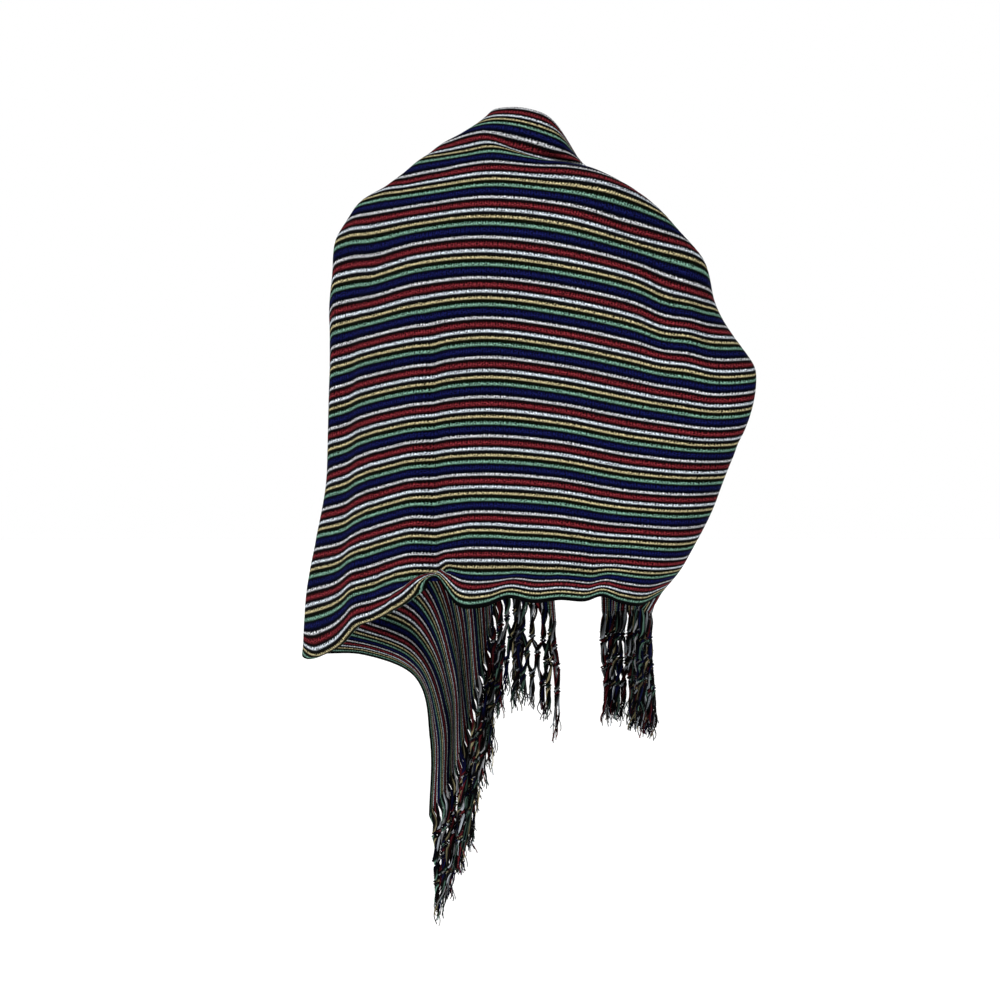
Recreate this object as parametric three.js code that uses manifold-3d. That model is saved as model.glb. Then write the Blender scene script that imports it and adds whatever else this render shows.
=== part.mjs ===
// Striped woven shawl with knotted fringe, in the form it takes round a wearer's shoulders.
// One rectangular cloth: its neck edge stands up behind the neck, it covers the back, the left
// arm hangs under it and the right elbow, out and back with the hand on the hip, lifts it.
// Both fringed ends hang in folds down the front.
// Frame, in millimetres: +X wearer's left, +Y wearer's back, +Z up, origin at the neck's base.
import * as THREE from 'three';
import Module from 'manifold-3d';

// ---- driving dimensions ----
const CLOTH_WIDTH = 680; // neck edge to hem, across the stripes
const HALF_LENGTH = 790; // middle of the back to either fringed end, along the stripes
const WALL = 2; // thickness of the handwoven cloth
const SEAM_GAP = 0.3; // between neighbouring solids
const LEFT_SPLIT = 325; // where the back stretch meets the left one
const RIGHT_SPLIT = -330; // where the back stretch meets the right one
const STEP_ALONG = 21; // cloth between two grid columns
const STEP_ACROSS = 20; // cloth between two grid rows
const FRINGE_LENGTH = 165; // cloth's end to the tips of the tails
const STRIP_HEIGHT = 5; // narrow heading that the fringe locks grow from
const EDGE_MARGIN = 8; // from either corner to the first lock
const LOCKS = 30; // knotted locks on each end
const LOCK_WIDTH = 3.8;
const KNOT_WIDTH = 6;
const LENGTH_SPREAD = 0.06; // share by which the shortest lock is shorter
const SWAY = 5; // how far a tip strays inwards or outwards
const LENGTH_BEAT = 2.4; // radians from one lock to the next, for its length
const SWAY_BEAT = 1.7; // and for its sway
const LEAN = 7; // how far a lock on a steep end keeps clear of the cloth below its root
const LEAN_SHARE = 0.12; // share of its length over which it moves there
const SLOPE_REACH = 60; // cloth to either side over which an end's slope is measured

// ---- the draped form ----
// Nine lines of cloth that run along the stripes. Each starts at the right-hand fringe, passes
// behind the wearer and ends at the left-hand fringe. Columns: along (cloth from the middle of
// the back), out (to the wearer's left), back, up.
const LINES = [
  {
    across: 0, // neck edge
    rows: [
      [-790, -44, -150, -596], [-600, -42, -148, -448], [-450, -44, -146, -302],
      [-330, -50, -132, -185], [-230, -58, -106, -96], [-160, -66, -62, -42],
      [-110, -67, -14, -12], [-60, -48, 28, 33], [-30, -26, 42, 44], [0, 0, 50, 47],
      [60, 46, 14, 45], [110, 68, -27, 17], [160, 67, -68, -24],
      [230, 60, -108, -84], [330, 50, -136, -180], [450, 46, -150, -298],
      [600, 40, -156, -446], [790, 26, -154, -612],
    ],
  },
  {
    across: 50, // foot of the collar roll
    rows: [
      [-790, -56, -154, -596], [-600, -58, -156, -450], [-450, -62, -148, -305],
      [-330, -68, -130, -190], [-220, -76, -95, -95], [-150, -78, -42, -38],
      [-95, -67, 18, -10], [-60, -59, 46, -5], [0, 0, 72, 14],
      [45, 42, 60, 17], [80, 76, 45, 15], [130, 121, 18, 8],
      [190, 143, -32, -19], [260, 122, -86, -74], [350, 96, -124, -156],
      [460, 79, -147, -262], [610, 70, -159, -414], [790, 57, -165, -596],
    ],
  },
  {
    across: 110, // top of the shoulders
    rows: [
      [-790, -68, -155, -595], [-650, -80, -155, -440], [-530, -98, -145, -320],
      [-410, -128, -115, -210], [-315, -160, -74, -142], [-245, -181, -20, -95],
      [-190, -163, 26, -71], [-140, -130, 59, -56], [-70, -68, 94, -46],
      [0, 0, 102, -37], [70, 72, 91, -40], [140, 138, 62, -41],
      [195, 188, 28, -41], [245, 230, -8, -52], [312, 208, -58, -92],
      [397, 154, -107, -168], [500, 118, -140, -262], [640, 101, -158, -400],
      [790, 89, -170, -580],
    ],
  },
  {
    across: 160, // outside of the upper arms
    rows: [
      [-790, -77, -152, -594], [-660, -100, -155, -455], [-540, -125, -140, -340],
      [-430, -162, -105, -240], [-345, -214, -58, -180], [-285, -238, -5, -147],
      [-240, -219, 29, -132], [-190, -177, 60, -121], [-100, -98, 98, -97],
      [0, 0, 112, -84], [100, 99, 94, -86], [190, 190, 62, -90],
      [240, 239, 34, -90], [280, 269, 4, -100], [330, 255, -46, -138],
      [405, 204, -98, -186], [505, 149, -137, -268], [645, 118, -158, -408],
      [790, 108, -173, -574],
    ],
  },
  {
    across: 210, // shoulder blades
    rows: [
      [-790, -86, -147, -593], [-660, -118, -150, -462], [-530, -150, -132, -340],
      [-430, -195, -95, -255], [-355, -240, -48, -212], [-305, -253, -2, -202],
      [-260, -235, 34, -196], [-200, -190, 72, -175], [-100, -99, 104, -150],
      [0, 0, 118, -136], [100, 100, 100, -137], [190, 182, 72, -147],
      [247, 236, 43, -147], [298, 279, 5, -163], [352, 264, -46, -202],
      [423, 216, -96, -238], [511, 166, -133, -302], [640, 133, -156, -420],
      [790, 124, -177, -584],
    ],
  },
  {
    across: 320, // right elbow
    rows: [
      [-790, -100, -132, -591], [-690, -148, -132, -470], [-600, -190, -110, -382],
      [-520, -242, -72, -325], [-450, -290, -28, -300], [-395, -316, 20, -292],
      [-345, -326, 64, -299], [-290, -284, 92, -301], [-200, -195, 104, -281],
      [-100, -98, 112, -260], [0, 0, 116, -247], [100, 99, 108, -254],
      [190, 183, 82, -264], [250, 238, 49, -271], [305, 281, 8, -287],
      [355, 285, -42, -314], [416, 250, -92, -347], [494, 198, -133, -397],
      [620, 162, -162, -508], [790, 150, -182, -672],
    ],
  },
  {
    across: 500, // waist
    rows: [
      [-790, -112, -108, -588], [-660, -148, -100, -530], [-540, -172, -82, -475],
      [-440, -215, -42, -448], [-365, -258, 8, -442], [-312, -276, 54, -446],
      [-270, -257, 98, -448], [-200, -197, 118, -445], [-100, -98, 122, -430],
      [0, 0, 118, -424], [100, 99, 114, -430], [190, 184, 88, -446],
      [250, 240, 56, -462], [304, 286, 14, -475], [354, 297, -36, -504],
      [414, 273, -88, -528], [490, 219, -135, -568], [620, 186, -166, -680],
      [790, 187, -188, -806],
    ],
  },
  {
    across: 600, // seat
    rows: [
      [-790, -120, -88, -586], [-640, -142, -84, -552], [-500, -168, -64, -528],
      [-400, -200, -22, -517], [-330, -230, 28, -518], [-285, -241, 70, -524],
      [-245, -230, 108, -526], [-190, -186, 130, -523], [-100, -98, 138, -518],
      [0, 0, 135, -516], [100, 98, 127, -523], [190, 183, 98, -544],
      [252, 242, 68, -565], [308, 300, 24, -580], [360, 311, -30, -604],
      [415, 287, -86, -620], [495, 233, -138, -652], [630, 205, -170, -745],
      [790, 208, -188, -852],
    ],
  },
  {
    across: 680, // hem
    rows: [
      [-790, -127, -68, -584], [-620, -144, -64, -568], [-480, -156, -56, -560],
      [-380, -172, -28, -556], [-310, -196, 20, -560], [-262, -206, 68, -566],
      [-235, -200, 104, -575], [-200, -184, 134, -571], [-173, -166, 146, -563],
      [-150, -147, 151, -569], [-118, -116, 155, -568], [-84, -82, 158, -572],
      [-50, -49, 159, -567], [-18, -18, 161, -578], [20, 20, 158, -577],
      [54, 54, 150, -543], [108, 108, 138, -574], [158, 153, 120, -594],
      [208, 199, 97, -611], [258, 238, 74, -637], [302, 283, 46, -653],
      [345, 320, 6, -654], [395, 314, -45, -656], [450, 286, -94, -660],
      [530, 236, -146, -690], [650, 224, -171, -778], [790, 228, -181, -888],
    ],
  },
];

// Soft folds, one row each. Columns: along and across where the fold starts, along and across
// where it ends, half-width, height (a trough is negative). All are cloth measures.
const FOLDS = [
  [10, 58, -105, 74, 13, -12], // tuck under the collar roll, right of the neck
  [-30, 36, -100, 36, 20, 5], // collar roll itself
  [-75, 92, -235, 96, 24, 7], // roll over the right shoulder
  [25, 74, 150, 58, 16, -5], // shallow tuck left of the neck
  [80, 300, 70, 665, 16, -9], // long crease left of the spine
  [112, 420, 96, 640, 20, 5], // roll beside it
  [-146, 380, -150, 655, 18, -5], // crease right of the spine
  [-262, 205, -262, 350, 20, 5], // edge over the back of the right arm
  [-262, 350, -196, 600, 26, 6], // and down to the hip
  [-225, 150, -215, 420, 22, -5], // hollow beside it
  [262, 190, 276, 430, 15, 6], // edge over the back of the left arm
  [232, 210, 240, 560, 20, -5], // hollow beside it
  [60, 622, -165, 624, 15, -11], // fold where the cloth meets the seat
  [50, 634, 150, 655, 12, -7], // the fold's tail to the left
  [215, 560, 190, 680, 20, 7], // low wave at the left hem
  [290, 480, 330, 680, 22, 7], // flare at the left corner
  [345, 250, 410, 600, 24, -9], // left arm's side
  [400, 200, 500, 480, 28, 7],
  [-345, 190, -380, 290, 20, -6], // crook above the right elbow
  [-400, 350, -520, 560, 24, -10], // sling under the right forearm
  [-440, 300, -580, 480, 28, 6],
];

// Pleats that gather each front towards its fringe. Columns: across, half-width, height.
const LEFT_PLEATS = [
  [40, 30, 14], [158, 34, 26], [292, 40, 23], [430, 34, 20], [562, 34, 24], [664, 24, 11],
];
const RIGHT_PLEATS = [
  [32, 30, 12], [146, 34, 24], [284, 40, 24], [408, 36, 16], [540, 34, 17], [664, 24, 8],
];
const PLEAT_START = 330; // pleats begin here and
const PLEAT_FULL = 720; // reach their whole height here

// Smooth curve through knots that are unevenly spaced.
function smoothThrough(knots, values, x) {
  const last = knots.length - 1;
  const slope = (i) => (values[i + 1] - values[i]) / (knots[i + 1] - knots[i]);
  const tangent = (i) => {
    if (i === 0) return slope(0);
    if (i === last) return slope(last - 1);
    return (slope(i - 1) + slope(i)) / 2;
  };
  let i = 0;
  while (i < last - 1 && x >= knots[i + 1]) i += 1;
  const span = knots[i + 1] - knots[i];
  const u = (x - knots[i]) / span;
  const rise = u * u * (3 - 2 * u);
  return (
    values[i] * (1 - rise) + values[i + 1] * rise
    + span * u * (1 - u) * (tangent(i) * (1 - u) - tangent(i + 1) * u)
  );
}

function smoothStep(from, to, x) {
  const u = Math.min(1, Math.max(0, (x - from) / (to - from)));
  return u * u * (3 - 2 * u);
}

// Middle surface of the cloth before it is creased.
function drapedPoint(along, across) {
  const axes = [1, 2, 3].map((column) => {
    const values = LINES.map(({ rows }) => smoothThrough(
      rows.map((row) => row[0]),
      rows.map((row) => row[column]),
      along,
    ));
    return smoothThrough(LINES.map((line) => line.across), values, across);
  });
  return new THREE.Vector3(...axes);
}

const REACH = 4; // cloth to either side over which a direction is measured

function normalOf(pointAt, along, across) {
  const alongWay = pointAt(along + REACH, across).sub(pointAt(along - REACH, across));
  const acrossWay = pointAt(along, across + REACH).sub(pointAt(along, across - REACH));
  return alongWay.cross(acrossWay).normalize();
}

const FADE = 2.2; // half-widths over which a fold fades in and out

// Height of one soft fold: round across its line, fading out past both ends.
function foldHeight([along0, across0, along1, across1, halfWidth, height], along, across) {
  const run = [along1 - along0, across1 - across0];
  const length = Math.hypot(...run);
  const unit = [run[0] / length, run[1] / length];
  const ahead = (along - along0) * unit[0] + (across - across0) * unit[1];
  const aside = (along - along0) * unit[1] - (across - across0) * unit[0];
  const fade = halfWidth * FADE;
  const inside = smoothStep(-fade, fade, ahead) * smoothStep(-fade, fade, length - ahead);
  return height * inside * Math.exp(-((aside / halfWidth) ** 2));
}

function creaseHeight(along, across) {
  const pleats = along > 0 ? LEFT_PLEATS : RIGHT_PLEATS;
  const gather = smoothStep(PLEAT_START, PLEAT_FULL, Math.abs(along));
  let height = 0;
  for (const fold of FOLDS) height += foldHeight(fold, along, across);
  for (const [middle, halfWidth, depth] of pleats) {
    height += gather * depth * Math.exp(-(((across - middle) / halfWidth) ** 2));
  }
  return height;
}

function clothPoint(along, across) {
  const normal = normalOf(drapedPoint, along, across);
  return drapedPoint(along, across).addScaledVector(normal, creaseHeight(along, across));
}

// Evenly spaced stations from one end to the other, near the wanted step.
function stations(from, to, step) {
  const count = Math.round(Math.abs(to - from) / step);
  return Array.from({ length: count + 1 }, (_, i) => from + ((to - from) * i) / count);
}

// Closed wall on a grid of middle points and normals: outer face, inner face and rim.
function wallGeometry(columns, thickness) {
  const across = columns[0].length;
  const positions = [];
  for (const side of [0.5, -0.5]) {
    for (const column of columns) {
      for (const { point, normal } of column) {
        positions.push(...point.clone().addScaledVector(normal, side * thickness).toArray());
      }
    }
  }
  const inner = columns.length * across;
  const at = (i, j) => i * across + j;
  const index = [];
  const quad = (a, b, c, d) => index.push(a, b, c, a, c, d);
  for (let i = 0; i < columns.length - 1; i += 1) {
    for (let j = 0; j < across - 1; j += 1) {
      quad(at(i, j), at(i + 1, j), at(i + 1, j + 1), at(i, j + 1));
      quad(inner + at(i, j), inner + at(i, j + 1), inner + at(i + 1, j + 1), inner + at(i + 1, j));
    }
  }
  for (let i = 0; i < columns.length - 1; i += 1) {
    const end = across - 1;
    quad(at(i, 0), inner + at(i, 0), inner + at(i + 1, 0), at(i + 1, 0));
    quad(at(i, end), at(i + 1, end), inner + at(i + 1, end), inner + at(i, end));
  }
  for (let j = 0; j < across - 1; j += 1) {
    const end = columns.length - 1;
    quad(at(0, j), at(0, j + 1), inner + at(0, j + 1), inner + at(0, j));
    quad(at(end, j), inner + at(end, j), inner + at(end, j + 1), at(end, j + 1));
  }
  const geometry = new THREE.BufferGeometry();
  geometry.setAttribute('position', new THREE.Float32BufferAttribute(positions, 3));
  geometry.setIndex(index);
  geometry.computeVertexNormals();
  return geometry;
}

function clothStretch(from, to) {
  const columns = stations(from, to, STEP_ALONG).map((along) => (
    stations(0, CLOTH_WIDTH, STEP_ACROSS).map((across) => ({
      point: clothPoint(along, across),
      normal: normalOf(clothPoint, along, across),
    }))
  ));
  return wallGeometry(columns, WALL);
}

// ---- fringe ----
// Rings down one lock. Columns: share of the lock's length, share of its width.
const LOCK_RINGS = [
  [0, LOCK_WIDTH], [0.2, LOCK_WIDTH], [0.25, KNOT_WIDTH], [0.3, LOCK_WIDTH],
  [0.5, LOCK_WIDTH], [0.55, KNOT_WIDTH], [0.6, LOCK_WIDTH], [0.95, LOCK_WIDTH * 0.8],
];

// One hanging lock: a three-sided strand with two knots, tip down.
function lockGeometry({ root, outward, length, sway, lean }) {
  const sides = 3;
  const turn = Math.atan2(outward.y, outward.x);
  const positions = [];
  for (const [share, width] of LOCK_RINGS) {
    const middle = root.clone().addScaledVector(outward, sway * share * share);
    middle.addScaledVector(lean, smoothStep(0, LEAN_SHARE, share));
    for (let k = 0; k < sides; k += 1) {
      const angle = turn + (k / sides) * 2 * Math.PI;
      positions.push(
        middle.x + (width / Math.sqrt(3)) * Math.cos(angle),
        middle.y + (width / Math.sqrt(3)) * Math.sin(angle),
        root.z - share * length,
      );
    }
  }
  const tip = positions.length / 3;
  const tail = root.clone().addScaledVector(outward, sway).add(lean);
  positions.push(tail.x, tail.y, root.z - length);
  const index = [0, 1, 2];
  for (let ring = 0; ring < LOCK_RINGS.length - 1; ring += 1) {
    for (let k = 0; k < sides; k += 1) {
      const a = ring * sides + k;
      const b = ring * sides + ((k + 1) % sides);
      index.push(a, a + sides, b, b, a + sides, b + sides);
    }
  }
  for (let k = 0; k < sides; k += 1) {
    index.push(tip - sides + k, tip, tip - sides + ((k + 1) % sides));
  }
  const geometry = new THREE.BufferGeometry();
  geometry.setAttribute('position', new THREE.Float32BufferAttribute(positions, 3));
  geometry.setIndex(index);
  return geometry;
}

const wasm = await Module();
wasm.setup();

function solidOf(geometry) {
  return new wasm.Manifold(new wasm.Mesh({
    numProp: 3,
    vertProperties: new Float32Array(geometry.attributes.position.array),
    triVerts: new Uint32Array(geometry.index.array),
  }));
}

function geometryOf(solid) {
  const { vertProperties, triVerts } = solid.getMesh();
  const geometry = new THREE.BufferGeometry();
  geometry.setAttribute('position', new THREE.Float32BufferAttribute(vertProperties, 3));
  geometry.setIndex([...triVerts]);
  geometry.computeVertexNormals();
  return geometry;
}

// How steeply an end falls towards the hem, from 0 to 1, and the level way off the cloth that
// hangs beside and below it.
function slopeAt(end, across) {
  const fall = drapedPoint(end, Math.min(across + SLOPE_REACH, CLOTH_WIDTH));
  fall.sub(drapedPoint(end, Math.max(across - SLOPE_REACH, 0)));
  const steepness = Math.max(0, -fall.z) / fall.length();
  return { steepness, clear: fall.setZ(0).normalize().negate() };
}

// Heading strip just past the cloth's end, with the locks grown into it.
function fringe(side) {
  const end = side * HALF_LENGTH;
  const places = stations(0, CLOTH_WIDTH, STEP_ACROSS);
  const rims = places.map((across) => {
    const normal = normalOf(clothPoint, end, across);
    const rimWay = clothPoint(end, across + REACH).sub(clothPoint(end, across - REACH));
    const square = rimWay.cross(normal).setLength(side); // square to the end, off the cloth
    const point = clothPoint(end, across);
    const onwards = point.clone().sub(clothPoint(end - side * REACH, across)).normalize();
    const away = onwards.lerp(square, slopeAt(end, across).steepness).normalize();
    return { point, away, normal };
  });
  const reaches = [SEAM_GAP, SEAM_GAP + STRIP_HEIGHT];
  if (side < 0) reaches.reverse();
  const columns = reaches.map((reach) => rims.map(({ point, away, normal }) => (
    { point: point.clone().addScaledVector(away, reach), normal }
  )));
  let solid = solidOf(wallGeometry(columns, WALL));
  for (let k = 0; k < LOCKS; k += 1) {
    const across = EDGE_MARGIN + ((CLOTH_WIDTH - 2 * EDGE_MARGIN) * k) / (LOCKS - 1);
    const i = Math.floor((across / CLOTH_WIDTH) * (places.length - 1));
    const share = (across - places[i]) / (places[i + 1] - places[i]);
    const between = (name) => rims[i][name].clone().lerp(rims[i + 1][name], share);
    const root = between('point').addScaledVector(between('away'), SEAM_GAP + STRIP_HEIGHT / 2);
    const shorter = LENGTH_SPREAD * Math.abs(Math.sin(LENGTH_BEAT * k));
    const length = (FRINGE_LENGTH - STRIP_HEIGHT) * (1 - shorter);
    const sway = SWAY * Math.sin(SWAY_BEAT * k);
    const outward = between('normal').setZ(0).normalize();
    const { steepness, clear } = slopeAt(end, across);
    const lean = clear.multiplyScalar(LEAN * steepness);
    solid = solid.add(solidOf(lockGeometry({ root, outward, length, sway, lean })));
  }
  return geometryOf(solid);
}

// ---- assembly ----
const wovenCotton = { color: 0x2b2640, roughness: 0.92, metalness: 0 };
const fringeYarn = { color: 0x241c26, roughness: 0.95, metalness: 0 };
const half = SEAM_GAP / 2;
const pieces = [
  ['shawl_back', clothStretch(RIGHT_SPLIT + half, LEFT_SPLIT - half), wovenCotton],
  ['shawl_left_front', clothStretch(LEFT_SPLIT + half, HALF_LENGTH), wovenCotton],
  ['shawl_right_front', clothStretch(-HALF_LENGTH, RIGHT_SPLIT - half), wovenCotton],
  ['fringe_left', fringe(1), fringeYarn],
  ['fringe_right', fringe(-1), fringeYarn],
];

const shawl = new THREE.Group();
for (const [name, geometry, finish] of pieces) {
  const mesh = new THREE.Mesh(geometry, new THREE.MeshStandardMaterial(finish));
  mesh.name = name;
  shawl.add(mesh);
}

export default shawl;
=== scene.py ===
# Striped handwoven shawl with knotted fringe, in the form it takes round a wearer's shoulders.
import math

import bpy
import numpy as np
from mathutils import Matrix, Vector


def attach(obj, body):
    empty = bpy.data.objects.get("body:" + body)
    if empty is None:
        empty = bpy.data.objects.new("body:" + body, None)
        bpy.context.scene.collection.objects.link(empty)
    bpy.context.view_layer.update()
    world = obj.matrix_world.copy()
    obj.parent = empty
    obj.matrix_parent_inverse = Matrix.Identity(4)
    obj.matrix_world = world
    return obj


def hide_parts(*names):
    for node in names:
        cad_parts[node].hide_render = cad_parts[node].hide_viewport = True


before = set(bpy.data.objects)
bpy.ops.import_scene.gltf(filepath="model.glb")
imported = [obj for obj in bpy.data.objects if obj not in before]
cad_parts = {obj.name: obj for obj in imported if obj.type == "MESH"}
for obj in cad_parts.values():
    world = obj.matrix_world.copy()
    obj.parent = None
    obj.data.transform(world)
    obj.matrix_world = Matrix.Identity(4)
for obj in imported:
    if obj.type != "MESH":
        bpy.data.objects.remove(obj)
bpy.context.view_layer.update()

# ---- Viewpoint ----
# The shawl is seen from behind and a little from the wearer's right, level with the waist.
# A long lens stands three metres away.
VIEW_TURN = math.radians(25)
VIEW_DISTANCE = 3.0
VIEW_HEIGHT = -0.448
VIEW_SIDEWAYS = -0.032  # the lens's axis passes this far to the right of the neck
SEEN_WIDTH = 1.28  # at the distance of the neck

to_camera = Vector((-math.sin(VIEW_TURN), math.cos(VIEW_TURN), 0))
to_seen_right = Vector((-math.cos(VIEW_TURN), -math.sin(VIEW_TURN), 0))
lens = bpy.data.cameras.new("camera")
lens.sensor_width = 36
lens.lens = lens.sensor_width * VIEW_DISTANCE / SEEN_WIDTH
lens.clip_end = 200
camera = bpy.data.objects.new("camera", lens)
camera.location = (
    to_camera * VIEW_DISTANCE + to_seen_right * VIEW_SIDEWAYS + Vector((0, 0, VIEW_HEIGHT))
)
camera.rotation_mode = "QUATERNION"
camera.rotation_quaternion = (-to_camera).to_track_quat("-Z", "Y")
bpy.context.collection.objects.link(camera)
bpy.context.scene.camera = camera

# ---- Woven cloth ----
# One rectangle of handwoven cotton, warp-faced, so that its stripes run the whole length. It
# stands up behind the neck, covers the back, hangs over the left arm and is lifted by the right
# elbow. Nothing is cut or sewn: it holds on by its own weight and the folds of both fronts.
MM = 0.001  # the shawl's own measures are in millimetres
CLOTH_WIDTH = 680
HALF_LENGTH = 790
CLOTH_THICKNESS = 1.2

# Lines of cloth that run along the stripes, named by how far they lie from the neck edge.
# Columns: along (cloth from the middle of the back, left is positive), out, back, up.
LINES = {
    0: [  # neck edge
        (-790, -44, -150, -596), (-600, -42, -148, -448), (-450, -44, -146, -302),
        (-330, -50, -132, -185), (-230, -58, -106, -96), (-160, -66, -62, -42),
        (-110, -67, -14, -12), (-60, -48, 28, 33), (-30, -26, 42, 44), (0, 0, 50, 47),
        (60, 46, 14, 45), (110, 68, -27, 17), (160, 67, -68, -24),
        (230, 60, -108, -84), (330, 50, -136, -180), (450, 46, -150, -298),
        (600, 40, -156, -446), (790, 26, -154, -612),
    ],
    50: [  # foot of the collar roll
        (-790, -56, -154, -596), (-600, -58, -156, -450), (-450, -62, -148, -305),
        (-330, -68, -130, -190), (-220, -76, -95, -95), (-150, -78, -42, -38),
        (-95, -67, 18, -10), (-60, -59, 46, -5), (0, 0, 72, 14),
        (45, 42, 60, 17), (80, 76, 45, 15), (130, 121, 18, 8),
        (190, 143, -32, -19), (260, 122, -86, -74), (350, 96, -124, -156),
        (460, 79, -147, -262), (610, 70, -159, -414), (790, 57, -165, -596),
    ],
    110: [  # top of the shoulders
        (-790, -68, -155, -595), (-650, -80, -155, -440), (-530, -98, -145, -320),
        (-410, -128, -115, -210), (-315, -160, -74, -142), (-245, -181, -20, -95),
        (-190, -163, 26, -71), (-140, -130, 59, -56), (-70, -68, 94, -46),
        (0, 0, 102, -37), (70, 72, 91, -40), (140, 138, 62, -41),
        (195, 188, 28, -41), (245, 230, -8, -52), (312, 208, -58, -92),
        (397, 154, -107, -168), (500, 118, -140, -262), (640, 101, -158, -400),
        (790, 89, -170, -580),
    ],
    160: [  # outside of the upper arms
        (-790, -77, -152, -594), (-660, -100, -155, -455), (-540, -125, -140, -340),
        (-430, -162, -105, -240), (-345, -214, -58, -180), (-285, -238, -5, -147),
        (-240, -219, 29, -132), (-190, -177, 60, -121), (-100, -98, 98, -97),
        (0, 0, 112, -84), (100, 99, 94, -86), (190, 190, 62, -90),
        (240, 239, 34, -90), (280, 269, 4, -100), (330, 255, -46, -138),
        (405, 204, -98, -186), (505, 149, -137, -268), (645, 118, -158, -408),
        (790, 108, -173, -574),
    ],
    210: [  # shoulder blades
        (-790, -86, -147, -593), (-660, -118, -150, -462), (-530, -150, -132, -340),
        (-430, -195, -95, -255), (-355, -240, -48, -212), (-305, -253, -2, -202),
        (-260, -235, 34, -196), (-200, -190, 72, -175), (-100, -99, 104, -150),
        (0, 0, 118, -136), (100, 100, 100, -137), (190, 182, 72, -147),
        (247, 236, 43, -147), (298, 279, 5, -163), (352, 264, -46, -202),
        (423, 216, -96, -238), (511, 166, -133, -302), (640, 133, -156, -420),
        (790, 124, -177, -584),
    ],
    320: [  # right elbow
        (-790, -100, -132, -591), (-690, -148, -132, -470), (-600, -190, -110, -382),
        (-520, -242, -72, -325), (-450, -290, -28, -300), (-395, -316, 20, -292),
        (-345, -326, 64, -299), (-290, -284, 92, -301), (-200, -195, 104, -281),
        (-100, -98, 112, -260), (0, 0, 116, -247), (100, 99, 108, -254),
        (190, 183, 82, -264), (250, 238, 49, -271), (305, 281, 8, -287),
        (355, 285, -42, -314), (416, 250, -92, -347), (494, 198, -133, -397),
        (620, 162, -162, -508), (790, 150, -182, -672),
    ],
    500: [  # waist
        (-790, -112, -108, -588), (-660, -148, -100, -530), (-540, -172, -82, -475),
        (-440, -215, -42, -448), (-365, -258, 8, -442), (-312, -276, 54, -446),
        (-270, -257, 98, -448), (-200, -197, 118, -445), (-100, -98, 122, -430),
        (0, 0, 118, -424), (100, 99, 114, -430), (190, 184, 88, -446),
        (250, 240, 56, -462), (304, 286, 14, -475), (354, 297, -36, -504),
        (414, 273, -88, -528), (490, 219, -135, -568), (620, 186, -166, -680),
        (790, 187, -188, -806),
    ],
    600: [  # seat
        (-790, -120, -88, -586), (-640, -142, -84, -552), (-500, -168, -64, -528),
        (-400, -200, -22, -517), (-330, -230, 28, -518), (-285, -241, 70, -524),
        (-245, -230, 108, -526), (-190, -186, 130, -523), (-100, -98, 138, -518),
        (0, 0, 135, -516), (100, 98, 127, -523), (190, 183, 98, -544),
        (252, 242, 68, -565), (308, 300, 24, -580), (360, 311, -30, -604),
        (415, 287, -86, -620), (495, 233, -138, -652), (630, 205, -170, -745),
        (790, 208, -188, -852),
    ],
    680: [  # hem
        (-790, -127, -68, -584), (-620, -144, -64, -568), (-480, -156, -56, -560),
        (-380, -172, -28, -556), (-310, -196, 20, -560), (-262, -206, 68, -566),
        (-235, -200, 104, -575), (-200, -184, 134, -571), (-173, -166, 146, -563),
        (-150, -147, 151, -569), (-118, -116, 155, -568), (-84, -82, 158, -572),
        (-50, -49, 159, -567), (-18, -18, 161, -578), (20, 20, 158, -577),
        (54, 54, 150, -543), (108, 108, 138, -574), (158, 153, 120, -594),
        (208, 199, 97, -611), (258, 238, 74, -637), (302, 283, 46, -653),
        (345, 320, 6, -654), (395, 314, -45, -656), (450, 286, -94, -660),
        (530, 236, -146, -690), (650, 224, -171, -778), (790, 228, -181, -888),
    ],
}

# Soft folds. Columns: along and across where one starts, the same where it ends, half-width,
# height. A trough is negative.
FOLDS = [
    (10, 58, -105, 74, 13, -12),  # tuck under the collar roll, right of the neck
    (-30, 36, -100, 36, 20, 5),  # collar roll itself
    (-75, 92, -235, 96, 24, 7),  # roll over the right shoulder
    (25, 74, 150, 58, 16, -5),  # shallow tuck left of the neck
    (80, 300, 70, 665, 16, -9),  # long crease left of the spine
    (112, 420, 96, 640, 20, 5),  # roll beside it
    (-146, 380, -150, 655, 18, -5),  # crease right of the spine
    (-262, 205, -262, 350, 20, 5),  # edge over the back of the right arm
    (-262, 350, -196, 600, 26, 6),  # and down to the hip
    (-225, 150, -215, 420, 22, -5),  # hollow beside it
    (262, 190, 276, 430, 15, 6),  # edge over the back of the left arm
    (232, 210, 240, 560, 20, -5),  # hollow beside it
    (60, 622, -165, 624, 15, -11),  # fold where the cloth meets the seat
    (50, 634, 150, 655, 12, -7),  # the fold's tail to the left
    (215, 560, 190, 680, 20, 7),  # low wave at the left hem
    (290, 480, 330, 680, 22, 7),  # flare at the left corner
    (345, 250, 410, 600, 24, -9),  # left arm's side
    (400, 200, 500, 480, 28, 7),
    (-345, 190, -380, 290, 20, -6),  # crook above the right elbow
    (-400, 350, -520, 560, 24, -10),  # sling under the right forearm
    (-440, 300, -580, 480, 28, 6),
]

# Pleats that gather each front towards its fringe. Columns: across, half-width, height.
LEFT_PLEATS = [
    (40, 30, 14), (158, 34, 26), (292, 40, 23), (430, 34, 20), (562, 34, 24), (664, 24, 11),
]
RIGHT_PLEATS = [
    (32, 30, 12), (146, 34, 24), (284, 40, 24), (408, 36, 16), (540, 34, 17), (664, 24, 8),
]
PLEAT_START, PLEAT_FULL = 330, 720  # cloth from the middle of the back

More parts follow.
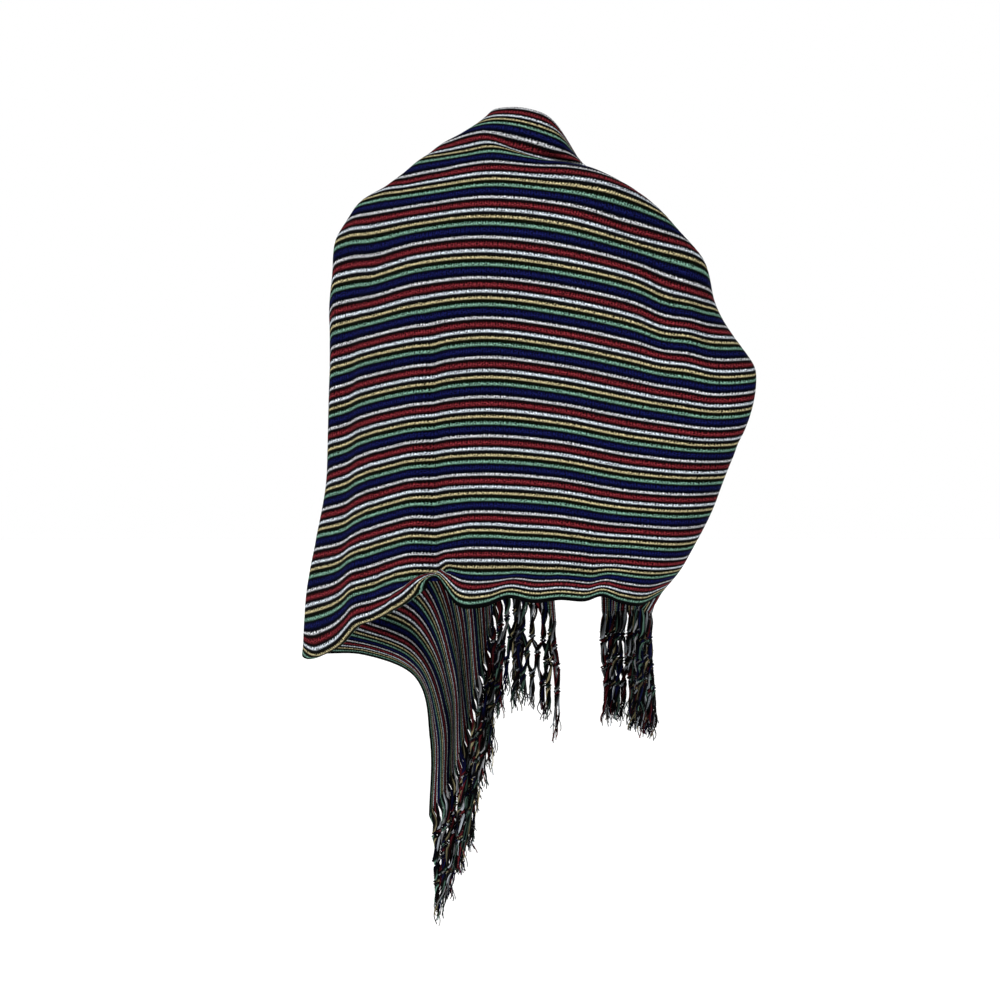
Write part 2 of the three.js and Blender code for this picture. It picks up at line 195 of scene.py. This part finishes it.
# Small creases of thin cloth, laid on the folds. Columns as for the folds.
CREASES = [
    (84, 330, 76, 560, 6, -3.4),
    (73, 560, 60, 668, 6, -3),
    (92, 250, 86, 400, 9, -1.6),
    (-30, 470, -38, 640, 10, -1.4),
    (20, 520, 12, 650, 9, 1.5),
    (-96, 430, -108, 640, 8, 1.6),
    (-152, 470, -150, 660, 6, -2),
    (-190, 300, -300, 330, 10, 1.8),
    (-170, 390, -290, 350, 9, -1.8),
    (-196, 470, -285, 400, 10, 2),
    (150, 180, 232, 260, 10, -1.6),
    (140, 300, 226, 360, 12, 1.6),
    (150, 500, 214, 520, 10, -1.8),
    (170, 400, 200, 610, 9, 1.8),
    (120, 600, 128, 676, 9, 2.2),
    (160, 590, 172, 676, 9, -2),
    (-120, 130, -205, 170, 10, -1.8),
    (-60, 110, -160, 120, 9, 1.5),
    (60, 100, 150, 110, 9, -1.5),
    (120, 80, 190, 105, 8, 1.6),
    (330, 120, 420, 260, 11, 2.4),
    (360, 330, 470, 420, 12, -2.6),
    (300, 260, 340, 420, 9, -2),
    (420, 60, 600, 110, 10, 2),
    (480, 180, 700, 225, 11, -2.6),
    (440, 560, 640, 610, 10, 2.4),
    (500, 460, 720, 500, 11, -2.2),
    (-330, 110, -430, 240, 11, 2.4),
    (-350, 420, -470, 470, 12, -2.4),
    (-430, 60, -620, 96, 10, 2),
    (-500, 200, -700, 230, 11, -2.6),
    (-460, 580, -650, 600, 10, 2.2),
    (-540, 380, -740, 372, 10, -2.4),
]


def smooth_through(knots, values, x):
    """Smooth curve through knots that are unevenly spaced. Each value may be an array along x."""
    knots = np.asarray(knots, float)
    values = np.asarray(values, float)
    if values.ndim == 1:
        values = values[:, None] * np.ones(len(x))
    slopes = np.diff(values, axis=0) / np.diff(knots)[:, None]
    tangents = np.concatenate([slopes[:1], (slopes[1:] + slopes[:-1]) / 2, slopes[-1:]])
    i = np.clip(np.searchsorted(knots, x, side="right") - 1, 0, len(knots) - 2)
    span = knots[i + 1] - knots[i]
    u = (x - knots[i]) / span
    rise = u * u * (3 - 2 * u)
    each = np.arange(len(x))
    ends = values[i, each] * (1 - rise) + values[i + 1, each] * rise
    bend = tangents[i, each] * (1 - u) - tangents[i + 1, each] * u
    return ends + span * u * (1 - u) * bend


def smooth_step(start, end, x):
    """Share from 0 to 1 between start and end, eased at both."""
    u = np.clip((x - start) / (end - start), 0, 1)
    return u * u * (3 - 2 * u)


def draped_point(along, across):
    """Middle surface of the cloth before it is creased, one row for each point."""
    tables = [np.array(rows, float) for rows in LINES.values()]
    axes = []
    for column in (1, 2, 3):
        on_lines = [smooth_through(rows[:, 0], rows[:, column], along) for rows in tables]
        axes.append(smooth_through(list(LINES), on_lines, across))
    return np.stack(axes, axis=1)


def directions(surface, along, across):
    """Unit vectors on a surface: along the stripes, towards the hem, and outwards."""
    reach = 4
    along_way = surface(along + reach, across) - surface(along - reach, across)
    hem_way = surface(along, across + reach) - surface(along, across - reach)
    outward = np.cross(along_way, hem_way)
    return [v / np.linalg.norm(v, axis=1, keepdims=True) for v in (along_way, hem_way, outward)]


def fold_place(row, along, across):
    """How far each point lies ahead of a fold's start and aside of its line, and its length."""
    run = np.array([row[2] - row[0], row[3] - row[1]], float)
    length = np.hypot(*run)
    unit = run / length
    ahead = (along - row[0]) * unit[0] + (across - row[1]) * unit[1]
    aside = (along - row[0]) * unit[1] - (across - row[1]) * unit[0]
    return ahead, aside, length


def crease_height(along, across):
    """How far folds, creases and pleats stand off the draped surface."""
    height = np.zeros(len(along))
    for row in FOLDS + CREASES:
        ahead, aside, length = fold_place(row, along, across)
        half_width = row[4]
        fade = 2.2 * half_width
        inside = smooth_step(-fade, fade, ahead) * smooth_step(-fade, fade, length - ahead)
        height += row[5] * inside * np.exp(-((aside / half_width) ** 2))
    gather = smooth_step(PLEAT_START, PLEAT_FULL, np.abs(along))
    for pleats, here in ((LEFT_PLEATS, along > 0), (RIGHT_PLEATS, along <= 0)):
        for middle, half_width, depth in pleats:
            height += here * gather * depth * np.exp(-(((across - middle) / half_width) ** 2))
    return height


# Laps, where the cloth below a line is pushed up over the cloth above it. The line runs from
# the first along and across to the second. Columns after them: overlap, how far the pull on the
# cloth reaches, lift of the lower layer, fade at the start, fade at the end.
LAPS = [
    (52, 631, 104, 634, 12, 24, 9, 6, 40),  # left of the notch in the hem
    (-62, 60, -124, 70, 24, 30, -7, 46, 26),  # the collar roll over the right shoulder
]
LAP_EDGE = 2.6  # half-width of the turn itself

# Left of the notch the hem has rolled inwards, which hides its last stripes.
ROLL_START = 657  # cloth from the neck edge to the roll
ROLL_RADIUS = 6.0
ROLL_PULL_START = 560  # from here to the roll the cloth hangs lower by what the roll takes up
ROLL_BEGIN, ROLL_FULL = 56, 92  # along the cloth, left of the notch
ROLL_WANE, ROLL_END = 290, 350  # and before the left corner


def hem_roll(along):
    """Share of the hem's roll, from 0 to 1, along the cloth."""
    return smooth_step(ROLL_BEGIN, ROLL_FULL, along) * smooth_step(ROLL_END, ROLL_WANE, along)


def cloth_point(along, across):
    """Middle surface of the finished cloth, with its creases, laps and rolled hem."""
    roll = hem_roll(along)
    taken_up = roll * (CLOTH_WIDTH - ROLL_START - ROLL_RADIUS)
    lowest = CLOTH_WIDTH - roll * ROLL_RADIUS
    pull_share = np.clip((across - ROLL_PULL_START) / (ROLL_START - ROLL_PULL_START), 0, 1)
    flat = np.minimum(across + taken_up * pull_share**2, lowest)
    along_way, hem_way, outward = directions(draped_point, along, flat)
    height = crease_height(along, flat)
    slide = np.zeros(len(along))
    for row in LAPS:
        ahead, aside, length = fold_place(row, along, across)
        overlap, reach, lift, fade_in, fade_out = row[4:]
        inside = smooth_step(-fade_in, fade_in, ahead)
        inside *= smooth_step(-fade_out, fade_out, length - ahead)
        below = -aside if row[2] > row[0] else aside
        pull = inside * np.tanh(below / LAP_EDGE) * np.exp(-((below / reach) ** 2))
        slide -= overlap / 2 * pull
        height += lift / 2 * pull
    turn = np.maximum(across + taken_up - lowest, 0) / ROLL_RADIUS
    slide += ROLL_RADIUS * np.sin(turn)
    height -= ROLL_RADIUS * (1 - np.cos(turn))
    return draped_point(along, flat) + outward * height[:, None] + hem_way * slide[:, None]


def stations(*stretches):
    """Grid stations over stretches that follow each other. Each is its end and its step."""
    made = [float(stretches[0])]
    for end, step in stretches[1:]:
        count = round((end - made[-1]) / step)
        made += list(np.linspace(made[-1], end, count + 1)[1:])
    return np.array(made)


grid_along = stations(-HALF_LENGTH, (-340, 8), (340, 5), (HALF_LENGTH, 8))
grid_across = stations(0, (36, 6), (96, 2.4), (600, 6), (CLOTH_WIDTH, 2.4))
columns, rows = len(grid_along), len(grid_across)
point_along = np.repeat(grid_along, rows)
point_across = np.tile(grid_across, columns)
points = cloth_point(point_along, point_across)

at = np.arange(columns * rows).reshape(columns, rows)
corners = [at[:-1, :-1], at[1:, :-1], at[1:, 1:], at[:-1, 1:]]
quads = np.stack([c.ravel() for c in corners], axis=1)
cloth_mesh = bpy.data.meshes.new("woven_cloth")
cloth_mesh.from_pydata((points * MM).tolist(), [], quads.tolist())
cloth_map = cloth_mesh.uv_layers.new(name="cloth")  # u along the stripes, v across them
corner_points = quads.ravel()
map_values = np.stack(
    [
        (point_along[corner_points] + HALF_LENGTH) / (2 * HALF_LENGTH),
        point_across[corner_points] / CLOTH_WIDTH,
    ],
    axis=1,
)
cloth_map.data.foreach_set("uv", map_values.ravel())
cloth_mesh.shade_smooth()
cloth = bpy.data.objects.new("woven_cloth", cloth_mesh)
bpy.context.collection.objects.link(cloth)
shell = cloth.modifiers.new("thickness", "SOLIDIFY")
shell.thickness = CLOTH_THICKNESS * MM
shell.offset = 0

# Stripes of one repeat on a black ground. Each stripe is painted darker from its bright middle
# to both edges, a painted shade where the raised stripe falls away into the black ground.
# Columns: middle from the repeat's start, half of the bright part, half of the whole, bright
# colour, colour of the painted edge shade.
WHITE = (0.62, 0.63, 0.66)
COLD_WHITE = (0.66, 0.72, 0.79)
RED = (0.175, 0.020, 0.027)
YELLOW = (0.60, 0.52, 0.29)
GREEN = (0.185, 0.36, 0.275)
NAVY = (0.0060, 0.0080, 0.062)
BLACK = (0.0014, 0.0014, 0.0018)
STRIPES = [
    (2.7, 0.5, 2.1, WHITE, (0.0030, 0.0030, 0.0040)),
    (11.2, 0.6, 3.4, RED, (0.0060, 0.0004, 0.0006)),
    (19.1, 0.6, 2.3, COLD_WHITE, (0.0020, 0.0030, 0.0055)),
    (27.2, 0.3, 2.0, YELLOW, (0.0030, 0.0020, 0.0004)),
    (35.5, 0.4, 2.5, GREEN, (0.0006, 0.0040, 0.0015)),
    (43.2, 0.9, 3.7, NAVY, (0.0004, 0.0008, 0.0060)),
]
REPEAT = 49
REPEAT_START = -0.8  # the first repeat, measured from the neck edge
SELVEDGE_START = CLOTH_WIDTH - 5  # the last yarns before the hem are black
WARP_PITCH = 1.1  # across the stripes, from yarn to yarn
PICK_PITCH = 1.2  # along the stripes, from pick to pick
TICK_PITCH = 3.6  # along the stripes, from one group of floats to the next
EDGE_STRAY = 2.6  # how far loose fibres carry a stripe's edge aside
LOOSE_CONTRAST = 4.2  # light and dark of the loose fibres
SWAY_CONTRAST = 0.5  # light and dark along single yarns
DARKEST = 0.06


class Value:
    """A value in a material, which is one socket. Python's operators add Math nodes to it."""

    def __init__(self, tree, socket=None):
        self.tree = tree
        self.socket = socket

    def node(self, kind, settings, sockets, output=0):
        made = self.tree.nodes.new(kind)
        for name, setting in settings.items():
            if name == "stops":
                ramp = made.color_ramp
                while len(ramp.elements) < len(setting):
                    ramp.elements.new(0.5)
                for element, (position, colour) in zip(ramp.elements, setting):
                    element.position = position
                    element.color = (*colour, 1)
            else:
                setattr(made, name, setting)
        for name, value in sockets.items():
            if isinstance(value, Value):
                self.tree.links.new(value.socket, made.inputs[name])
            else:
                made.inputs[name].default_value = value
        return Value(self.tree, made.outputs[output] if made.outputs else None)

    def math(self, operation, *values):
        return self.node("ShaderNodeMath", {"operation": operation}, dict(enumerate(values)))

    def __add__(self, other):
        return self.math("ADD", self, other)

    __radd__ = __add__

    def __sub__(self, other):
        return self.math("SUBTRACT", self, other)

    def __rsub__(self, other):
        return self.math("SUBTRACT", other, self)

    def __mul__(self, other):
        return self.math("MULTIPLY", self, other)

    __rmul__ = __mul__

    def __truediv__(self, other):
        return self.math("DIVIDE", self, other)

    def __rtruediv__(self, other):
        return self.math("DIVIDE", other, self)

    def fraction(self):
        return self.math("FRACT", self)

    def wave(self, pitch):
        """From 0 to 1 and back over each pitch."""
        return self.math("SINE", self * (2 * math.pi / pitch)) * 0.5 + 0.5


def noise(start, place, scale, detail=2.0):
    """Noise from 0 to 1, finer as the scale grows."""
    sockets = {"Vector": place, "Scale": scale, "Detail": detail, "Roughness": 0.55}
    return start.node("ShaderNodeTexNoise", {"noise_dimensions": "3D"}, sockets)


woven_cotton = bpy.data.materials.new("woven_cotton")
woven_cotton.use_nodes = True
woven_tree = woven_cotton.node_tree
woven_tree.nodes.clear()
start = Value(woven_tree)
place = start.node("ShaderNodeUVMap", {"uv_map": "cloth"}, {})
u = start.node("ShaderNodeSeparateXYZ", {}, {"Vector": place}, "X")
v = start.node("ShaderNodeSeparateXYZ", {}, {"Vector": place}, "Y")
along_mm = u * (2 * HALF_LENGTH)
across_mm = v * CLOTH_WIDTH
yarn_run = start.node("ShaderNodeCombineXYZ", {}, {"X": along_mm * 0.02, "Y": across_mm})
sway = noise(start, yarn_run, 0.35)
pick_run = start.node("ShaderNodeCombineXYZ", {}, {"X": along_mm * 0.32, "Y": across_mm * 0.6})
loose = noise(start, pick_run, 1.0, 3.0)
pair_share = (across_mm / (2 * WARP_PITCH)).fraction()
odd_yarn = start.math("GREATER_THAN", pair_share, 0.5)
bead = (along_mm + odd_yarn * (PICK_PITCH / 2)).wave(PICK_PITCH)
rib = across_mm.wave(WARP_PITCH)
tick = (along_mm + (sway - 0.5) * 4 + (loose - 0.5) * 3).wave(TICK_PITCH)
ragged = across_mm - REPEAT_START + (loose - 0.5) * EDGE_STRAY + (tick - 0.5) * 0.7
# Each stripe's ramp runs from its painted edge shade up to its bright middle and back.
stops = []
for middle, bright_half, whole_half, bright, edge_shade in STRIPES:
    for place_across, colour in (
        (middle - whole_half, edge_shade), (middle - bright_half, bright),
        (middle + bright_half, bright), (middle + whole_half, edge_shade),
    ):
        stops.append((place_across / REPEAT, colour))
stripe = start.node(
    "ShaderNodeValToRGB",
    {"stops": stops},
    {"Fac": (ragged / REPEAT).fraction()},
)
selvedge = start.math("GREATER_THAN", across_mm, SELVEDGE_START)
stripe = start.node(
    "ShaderNodeMix",
    {"data_type": "RGBA"},
    {"Factor": selvedge, "A": stripe, "B": (*BLACK, 1)},
    "Result",
)
# The weave's relief is painted into its colour as well: painted shade in the hollows between picks and
# between yarns, and painted highlight on the floats, over the yarns' own random light and dark.
dim = 0.42 + 0.72 * tick * (0.6 + 0.4 * bead) * (0.75 + 0.25 * rib)
dim = dim + (loose - 0.5) * LOOSE_CONTRAST + (sway - 0.5) * SWAY_CONTRAST
dim = start.math("MAXIMUM", dim, DARKEST)
tone = start.node("ShaderNodeCombineXYZ", {}, {"X": dim, "Y": dim, "Z": dim})
woven_colour_with_painted_light = start.node(
    "ShaderNodeMix",
    {"data_type": "RGBA", "blend_type": "MULTIPLY"},
    {"Factor": 1.0, "A": stripe, "B": tone},
    "Result",
)
relief = tick * 0.5 + bead * 0.3 + rib * 0.25 + loose * 0.4
woven_normal = start.node(
    "ShaderNodeBump",
    {},
    {"Strength": 0.55, "Distance": 0.45 * MM, "Height": relief},
)
cotton = start.node(
    "ShaderNodeBsdfPrincipled",
    {},
    {
        "Base Color": woven_colour_with_painted_light,
        "Roughness": 0.82 + 0.14 * loose,
        "Normal": woven_normal,
        "Specular IOR Level": 0.02,
    },
)
start.node("ShaderNodeOutputMaterial", {}, {"Surface": cotton})
cloth_mesh.materials.append(woven_cotton)

# ---- Knotted fringe ----
# The warp's own ends, left long past the last pick. They are gathered in bundles, tied with an
# overhand knot, halved and tied again with their neighbours twice, and hang in frayed tails.
BUNDLES = 34
BUNDLE_SPACING = CLOTH_WIDTH / BUNDLES
YARNS = 12  # in each bundle
YARN_RADIUS = 1.0
TAIL_THINNING = 0.35  # share of its thickness that a yarn loses at its frayed end
BUNDLE_RADIUS = 2.5
KNOT_RADIUS = 4.4
KNOT_HALF_HEIGHT = 4.6
KNOT_TURN = 2.8  # radians that yarns turn on each half of a knot
KNOT_ROWS = (34, 66, 98)  # below the cloth's end
KNOT_STRAY = 9  # a knot lies higher or lower than its row by up to this
TWIST_LENGTH = 13  # yarns of a bundle turn by a radian over this
GATHER_LENGTH = 12  # from the cloth's end to where a bundle has come together
FRINGE_LENGTH = 165
TAIL_START = 8  # below the last knot, where the tails begin to fray
TAIL_OPEN = 28  # below the last knot, where they hang half apart
YARN_LEAN = 8  # how far yarns on a steep end keep clear of the cloth below their roots
SLOPE_REACH = 60  # cloth to either side over which an end's slope is measured
DRIFT_LENGTH = 38  # a bundle sways in and out by a radian over this
EDGE_MARGIN = 4  # the outermost knots lie this far inside the cloth's edges
RING_STEP = 3.8  # from one ring of a yarn to the next


def warp_colour(across, chance):
    """Colour of the warp yarn this far from the neck edge. Most are darkened at random, a painted
    shade for the shadows among the bundles.
    """
    place = (across - REPEAT_START) % REPEAT
    # Share of its colour that a yarn keeps under painted shade.
    painted_shade = chance.uniform(0.25, 1.0) ** 2
    for middle, _, whole_half, bright, _ in STRIPES:
        if abs(place - middle) < whole_half * 0.75:
            return [share * painted_shade for share in bright]
    return BLACK


def clear_of_cloth(end, across):
    """Level way off the cloth that hangs below a sloping end, longer where it is steeper."""
    fall = draped_point(end, np.minimum(across + SLOPE_REACH, CLOTH_WIDTH))
    fall -= draped_point(end, np.maximum(across - SLOPE_REACH, 0))
    steepness = np.maximum(0, -fall[:, 2]) / np.linalg.norm(fall, axis=1)
    level = fall * [1, 1, 0]
    return -level / np.linalg.norm(level, axis=1, keepdims=True) * steepness[:, None]


def yarn_way(down, length, knots, root, middle, goes, spread):
    """Where a yarn lies across the cloth: to its bundle's knot, to a neighbour's and back."""
    first_knot, second_knot, third_knot = knots
    neighbour = middle + goes * BUNDLE_SPACING / 2
    neighbour = np.clip(neighbour, EDGE_MARGIN, CLOTH_WIDTH - EDGE_MARGIN)
    halfway = (middle + neighbour) / 2 + goes * 1.2
    drops = [
        0, GATHER_LENGTH, first_knot, (first_knot + second_knot) / 2, second_knot,
        (second_knot + third_knot) / 2, third_knot, third_knot + TAIL_OPEN, length,
    ]
    ways = [
        root, root + (middle - root) * 0.4, middle, halfway, neighbour, halfway, middle,
        middle + spread * 0.5, middle + spread,
    ]
    return np.clip(smooth_through(drops, ways, down), 1, CLOTH_WIDTH - 1)


def yarn_swing(down, length, knots, share, chance):
    """How far a yarn winds outwards and aside from its bundle's line, and how frayed it is."""
    knot = sum(np.exp(-(((down - row) / KNOT_HALF_HEIGHT) ** 2)) for row in knots)
    swell = BUNDLE_RADIUS + (KNOT_RADIUS - BUNDLE_RADIUS) * knot
    swell *= 0.15 + 0.85 * smooth_step(0, GATHER_LENGTH, down)
    frayed = smooth_step(knots[-1] + TAIL_START, length, down)
    turn = share * 2 * math.pi + down / TWIST_LENGTH
    turn += KNOT_TURN * sum(np.tanh((down - row) / 4) for row in knots)
    curl = chance.uniform(0, 2 * math.pi)
    wriggle = chance.uniform(6, 14)
    blown = frayed * (3.5 * np.sin(down / wriggle + curl) + chance.uniform(-5, 5))
    strayed = frayed * 3 * np.cos(down / (wriggle * 0.7) + curl * 1.7)
    return swell * np.cos(turn) + blown, swell * np.sin(turn) + strayed, frayed


def yarn_paths(side, chance):
    """One end's yarns: points, edges, radius and colour of each point."""
    strays = chance.uniform(-KNOT_STRAY, KNOT_STRAY, (BUNDLES * 2 + 2, len(KNOT_ROWS)))
    runs, edges, colours = [], [], []
    first = 0
    for bundle in range(BUNDLES):
        middle = (bundle + 0.5) * BUNDLE_SPACING
        place = 2 * bundle + 1
        clump = chance.uniform(-8, 8)
        drift, drift_start = chance.uniform(2, 5), chance.uniform(0, 2 * math.pi)
        hangs = chance.uniform(0.8, 1.0)
        for yarn in range(YARNS):
            share = (yarn + 0.5) / YARNS - 0.5
            goes = 1 if share > 0 else -1
            knots = [
                row + strays[place + step, i]
                for i, (row, step) in enumerate(zip(KNOT_ROWS, (0, goes, 0)))
            ]
            root = middle + share * BUNDLE_SPACING
            length = FRINGE_LENGTH * hangs * chance.uniform(0.88, 1.02)
            spread = clump + chance.uniform(-5, 5)
            down = np.linspace(0, length, round(length / RING_STEP))
            across = yarn_way(down, length, knots, root, middle, goes, spread)
            outwards, beside, frayed = yarn_swing(down, length, knots, share, chance)
            swaying = np.sin(down / DRIFT_LENGTH + drift_start)
            outwards += drift * swaying * smooth_step(0, 40, down)
            radius = YARN_RADIUS * (1 - TAIL_THINNING * frayed)
            runs.append(np.stack([down, across, outwards, beside, radius]))
            edges += [(first + i, first + i + 1) for i in range(len(down) - 1)]
            colours += [warp_colour(root, chance)] * len(down)
            first += len(down)
    down, across, outwards, beside, radii = np.concatenate(runs, axis=1)
    end = np.full(len(down), float(side * HALF_LENGTH))
    outward = directions(cloth_point, end, across)[2]
    level = outward * [1, 1, 0]
    level /= np.linalg.norm(level, axis=1, keepdims=True)
    points = cloth_point(end, across) + level * outwards[:, None]
    points += np.cross(level, [0, 0, 1]) * beside[:, None]
    points += clear_of_cloth(end, across) * (YARN_LEAN * smooth_step(0, 20, down))[:, None]
    points[:, 2] -= down
    return points, edges, radii, colours


def yarn_tree():
    """Nodes that spin round yarns along edges and let fine fibres stand off them."""
    tree = bpy.data.node_groups.new("spun_yarns", "GeometryNodeTree")
    face = tree.interface
    face.new_socket("Geometry", in_out="INPUT", socket_type="NodeSocketGeometry")
    sides = face.new_socket("Sides", in_out="INPUT", socket_type="NodeSocketInt")
    density = face.new_socket("Fibres per square metre", in_out="INPUT", socket_type="NodeSocketFloat")
    fibre_length = face.new_socket("Fibre length", in_out="INPUT", socket_type="NodeSocketFloat")
    fibre_width = face.new_socket("Fibre width", in_out="INPUT", socket_type="NodeSocketFloat")
    seed = face.new_socket("Seed", in_out="INPUT", socket_type="NodeSocketInt")
    material = face.new_socket("Material", in_out="INPUT", socket_type="NodeSocketMaterial")
    face.new_socket("Geometry", in_out="OUTPUT", socket_type="NodeSocketGeometry")
    given = tree.nodes.new("NodeGroupInput").outputs
    result = tree.nodes.new("NodeGroupOutput").inputs

    def add(kind, links, **settings):
        made = tree.nodes.new(kind)
        for name, setting in settings.items():
            setattr(made, name, setting)
        for name, link in links.items():
            if isinstance(link, bpy.types.NodeSocket):
                tree.links.new(link, made.inputs[name])
            else:
                made.inputs[name].default_value = link
        return made.outputs

    radius = add("GeometryNodeInputNamedAttribute", {"Name": "radius_of_yarn"}, data_type="FLOAT")
    lines = add("GeometryNodeMeshToCurve", {"Mesh": given["Geometry"]})
    ring = add("GeometryNodeCurvePrimitiveCircle", {"Resolution": given["Sides"], "Radius": 1.0})
    tubes = add(
        "GeometryNodeCurveToMesh",
        {"Curve": lines[0], "Profile Curve": ring[0], "Scale": radius[0], "Fill Caps": True},
    )
    spots = add(
        "GeometryNodeDistributePointsOnFaces",
        {"Mesh": tubes[0], "Density": given["Fibres per square metre"], "Seed": given["Seed"]},
    )
    fibre = add(
        "GeometryNodeMeshCone",
        {"Vertices": 3, "Radius Top": 0.0, "Radius Bottom": given["Fibre width"],
         "Depth": given["Fibre length"]},
        fill_type="NONE",
    )
    least, most = 2, 3  # the sockets of a random number's limits
    scale = add(
        "FunctionNodeRandomValue",
        {least: 0.3, most: 1.0, "Seed": given["Seed"]},
        data_type="FLOAT",
    )
    stood = add(
        "GeometryNodeInstanceOnPoints",
        {"Points": spots["Points"], "Instance": fibre["Mesh"], "Rotation": spots["Rotation"],
         "Scale": scale[1]},
    )
    both = tree.nodes.new("GeometryNodeJoinGeometry")
    tree.links.new(tubes[0], both.inputs[0])
    tree.links.new(stood[0], both.inputs[0])
    real = add("GeometryNodeRealizeInstances", {"Geometry": both.outputs[0]})
    smooth = add("GeometryNodeSetShadeSmooth", {0: real[0]})
    dressed = add("GeometryNodeSetMaterial", {"Geometry": smooth[0], "Material": given["Material"]})
    tree.links.new(dressed[0], result[0])
    inputs = (sides, density, fibre_length, fibre_width, seed, material)
    return tree, {socket.name: socket.identifier for socket in inputs}


fringe_yarn = bpy.data.materials.new("fringe_yarn")
fringe_yarn.use_nodes = True
fringe_tree = fringe_yarn.node_tree
fringe_tree.nodes.clear()
start = Value(fringe_tree)
yarn_colour = start.node("ShaderNodeAttribute", {"attribute_name": "yarn_colour"}, {}, "Color")
here = start.node("ShaderNodeTexCoord", {}, {}, "Object")
fluff = noise(start, here, 900.0, 3.0)
patch = noise(start, here, 60.0)
dim = 0.3 + 0.6 * fluff + 0.3 * patch
tone = start.node("ShaderNodeCombineXYZ", {}, {"X": dim, "Y": dim, "Z": dim})
spun_colour = start.node(
    "ShaderNodeMix",
    {"data_type": "RGBA", "blend_type": "MULTIPLY"},
    {"Factor": 1.0, "A": yarn_colour, "B": tone},
    "Result",
)
spun_normal = start.node(
    "ShaderNodeBump", {}, {"Strength": 0.6, "Distance": 0.4 * MM, "Height": fluff}
)
spun = start.node(
    "ShaderNodeBsdfPrincipled",
    {},
    {
        "Base Color": spun_colour,
        "Roughness": 0.85 + 0.1 * fluff,
        "Normal": spun_normal,
        "Specular IOR Level": 0.06,
    },
)
start.node("ShaderNodeOutputMaterial", {}, {"Surface": spun})

spun_yarns, yarn_inputs = yarn_tree()
for name, side, seed in (("fringe_left", 1, 3), ("fringe_right", -1, 8)):
    points, edges, radii, colours = yarn_paths(side, np.random.default_rng(seed))
    lines = bpy.data.meshes.new(f"{name}_lines")
    lines.from_pydata((points * MM).tolist(), edges, [])
    radius = lines.attributes.new("radius_of_yarn", "FLOAT", "POINT")
    radius.data.foreach_set("value", radii * MM)
    colour = lines.attributes.new("yarn_colour", "FLOAT_COLOR", "POINT")
    colour.data.foreach_set("color", np.array([(*c, 1) for c in colours]).ravel())
    guide = bpy.data.objects.new(f"{name}_guide", lines)
    bpy.context.collection.objects.link(guide)
    spin = guide.modifiers.new("spin", "NODES")
    spin.node_group = spun_yarns
    spin[yarn_inputs["Sides"]] = 4
    spin[yarn_inputs["Fibres per square metre"]] = 16000.0
    spin[yarn_inputs["Fibre length"]] = 8 * MM
    spin[yarn_inputs["Fibre width"]] = 0.2 * MM
    spin[yarn_inputs["Seed"]] = seed
    spin[yarn_inputs["Material"]] = fringe_yarn
    graph = bpy.context.evaluated_depsgraph_get()
    yarn_mesh = bpy.data.meshes.new_from_object(guide.evaluated_get(graph))
    yarn_mesh.name = f"knotted_{name}"
    guide.modifiers.remove(spin)
    bpy.data.objects.remove(guide)
    knotted = bpy.data.objects.new(f"knotted_{name}", yarn_mesh)
    bpy.context.collection.objects.link(knotted)
    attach(knotted, "root")
    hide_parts(name)

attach(cloth, "root")
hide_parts("shawl_back", "shawl_left_front", "shawl_right_front")

# ---- Floor ----
# A plain pale studio floor at the height where a wearer would stand.
FLOOR_HEIGHT = -1.52
FLOOR_RADIUS = 60.0
FLOOR_CORNERS = 96
turns = np.linspace(0, 2 * math.pi, FLOOR_CORNERS, endpoint=False)
rim = [(FLOOR_RADIUS * math.cos(a), FLOOR_RADIUS * math.sin(a), FLOOR_HEIGHT) for a in turns]
floor_mesh = bpy.data.meshes.new("floor")
floor_mesh.from_pydata(rim, [], [list(range(len(rim)))])
floor = bpy.data.objects.new("floor", floor_mesh)
bpy.context.collection.objects.link(floor)

pale_floor = bpy.data.materials.new("pale_floor")
pale_floor.use_nodes = True
pale_floor.node_tree.nodes.clear()
start = Value(pale_floor.node_tree)
paint = start.node(
    "ShaderNodeBsdfPrincipled",
    {},
    {
        "Base Color": (0.9, 0.9, 0.9, 1),
        "Roughness": 0.9,
        "Emission Color": (1, 1, 1, 1),
        "Emission Strength": 0.3,
    },
)
start.node("ShaderNodeOutputMaterial", {}, {"Surface": paint})
floor_mesh.materials.append(pale_floor)

# ---- Light ----
# A white room that gives little light of its own, and three broad soft lamps: the strongest
# high on the camera's left, one low on its right and one level with the shawl's open front.
ROOM_LIGHT = 0.27
LAMP_DISTANCE = 3  # a sun shines alike from any distance, so this only gives the lamps a place
world = bpy.data.worlds.new("white_room")
world.use_nodes = True
world.node_tree.nodes.clear()
start = Value(world.node_tree)
white = start.node("ShaderNodeBackground", {}, {"Color": (1, 1, 1, 1), "Strength": 1.0})
dim_white = start.node("ShaderNodeBackground", {}, {"Color": (1, 1, 1, 1), "Strength": ROOM_LIGHT})
seen = start.node("ShaderNodeLightPath", {}, {}, "Is Camera Ray")
shown = start.node("ShaderNodeMixShader", {}, {0: seen, 1: dim_white, 2: white})
start.node("ShaderNodeOutputWorld", {}, {"Surface": shown})
bpy.context.scene.world = world

LAMPS = [  # name, way to it (right, towards the camera, up), strength, breadth in degrees
    ("key_light", (-0.75, 1.0, 0.95), 2.7, 34),
    ("fill_light", (0.9, 0.8, 0.25), 0.9, 50),
    ("front_light", (0.35, -1.0, 0.1), 1.6, 50),
]
for name, (right, near, up), strength, breadth in LAMPS:
    glow = bpy.data.lights.new(name, "SUN")
    glow.energy = strength
    glow.angle = math.radians(breadth)
    lamp = bpy.data.objects.new(name, glow)
    way = to_seen_right * right + to_camera * near + Vector((0, 0, up))
    lamp.location = way * LAMP_DISTANCE
    lamp.rotation_mode = "QUATERNION"
    lamp.rotation_quaternion = (-way).to_track_quat("-Z", "Y")
    bpy.context.collection.objects.link(lamp)

bpy.context.scene.view_settings.view_transform = "Standard"
